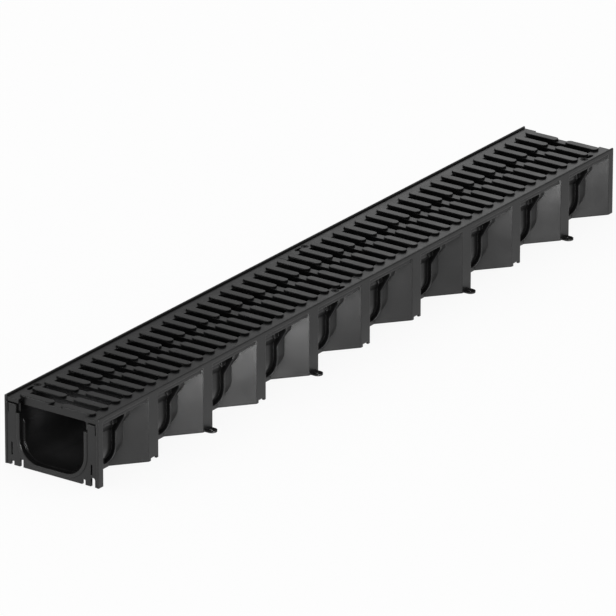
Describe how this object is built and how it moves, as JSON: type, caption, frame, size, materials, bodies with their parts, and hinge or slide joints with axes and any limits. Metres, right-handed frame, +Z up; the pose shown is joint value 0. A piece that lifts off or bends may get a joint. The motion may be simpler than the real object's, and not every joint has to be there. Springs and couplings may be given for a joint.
{
  "type": "channel drain",
  "caption": "Straight linear drainage channel with a wave-ribbed trough, rails along the top edges and slotted gratings held down by corner locks.",
  "frame": {"origin": "middle of the footprint, at the level the channel stands on", "axes": "X across the channel, Y along it with the pictured end at -Y, Z up"},
  "size_m": [0.1474, 1, 0.08],
  "materials": {
    "channel_plastic": "moulded, satin",
    "grating_plastic": "moulded, satin",
    "lock_plastic": "moulded, satin"
  },
  "bodies": {
    "root": {"channel_body": "channel_plastic", "grating_front": "grating_plastic", "grating_rear": "grating_plastic", "lock_screw_1": "lock_plastic", "lock_screw_2": "lock_plastic", "lock_screw_3": "lock_plastic", "lock_screw_4": "lock_plastic"}
  },
  "joints": []
}
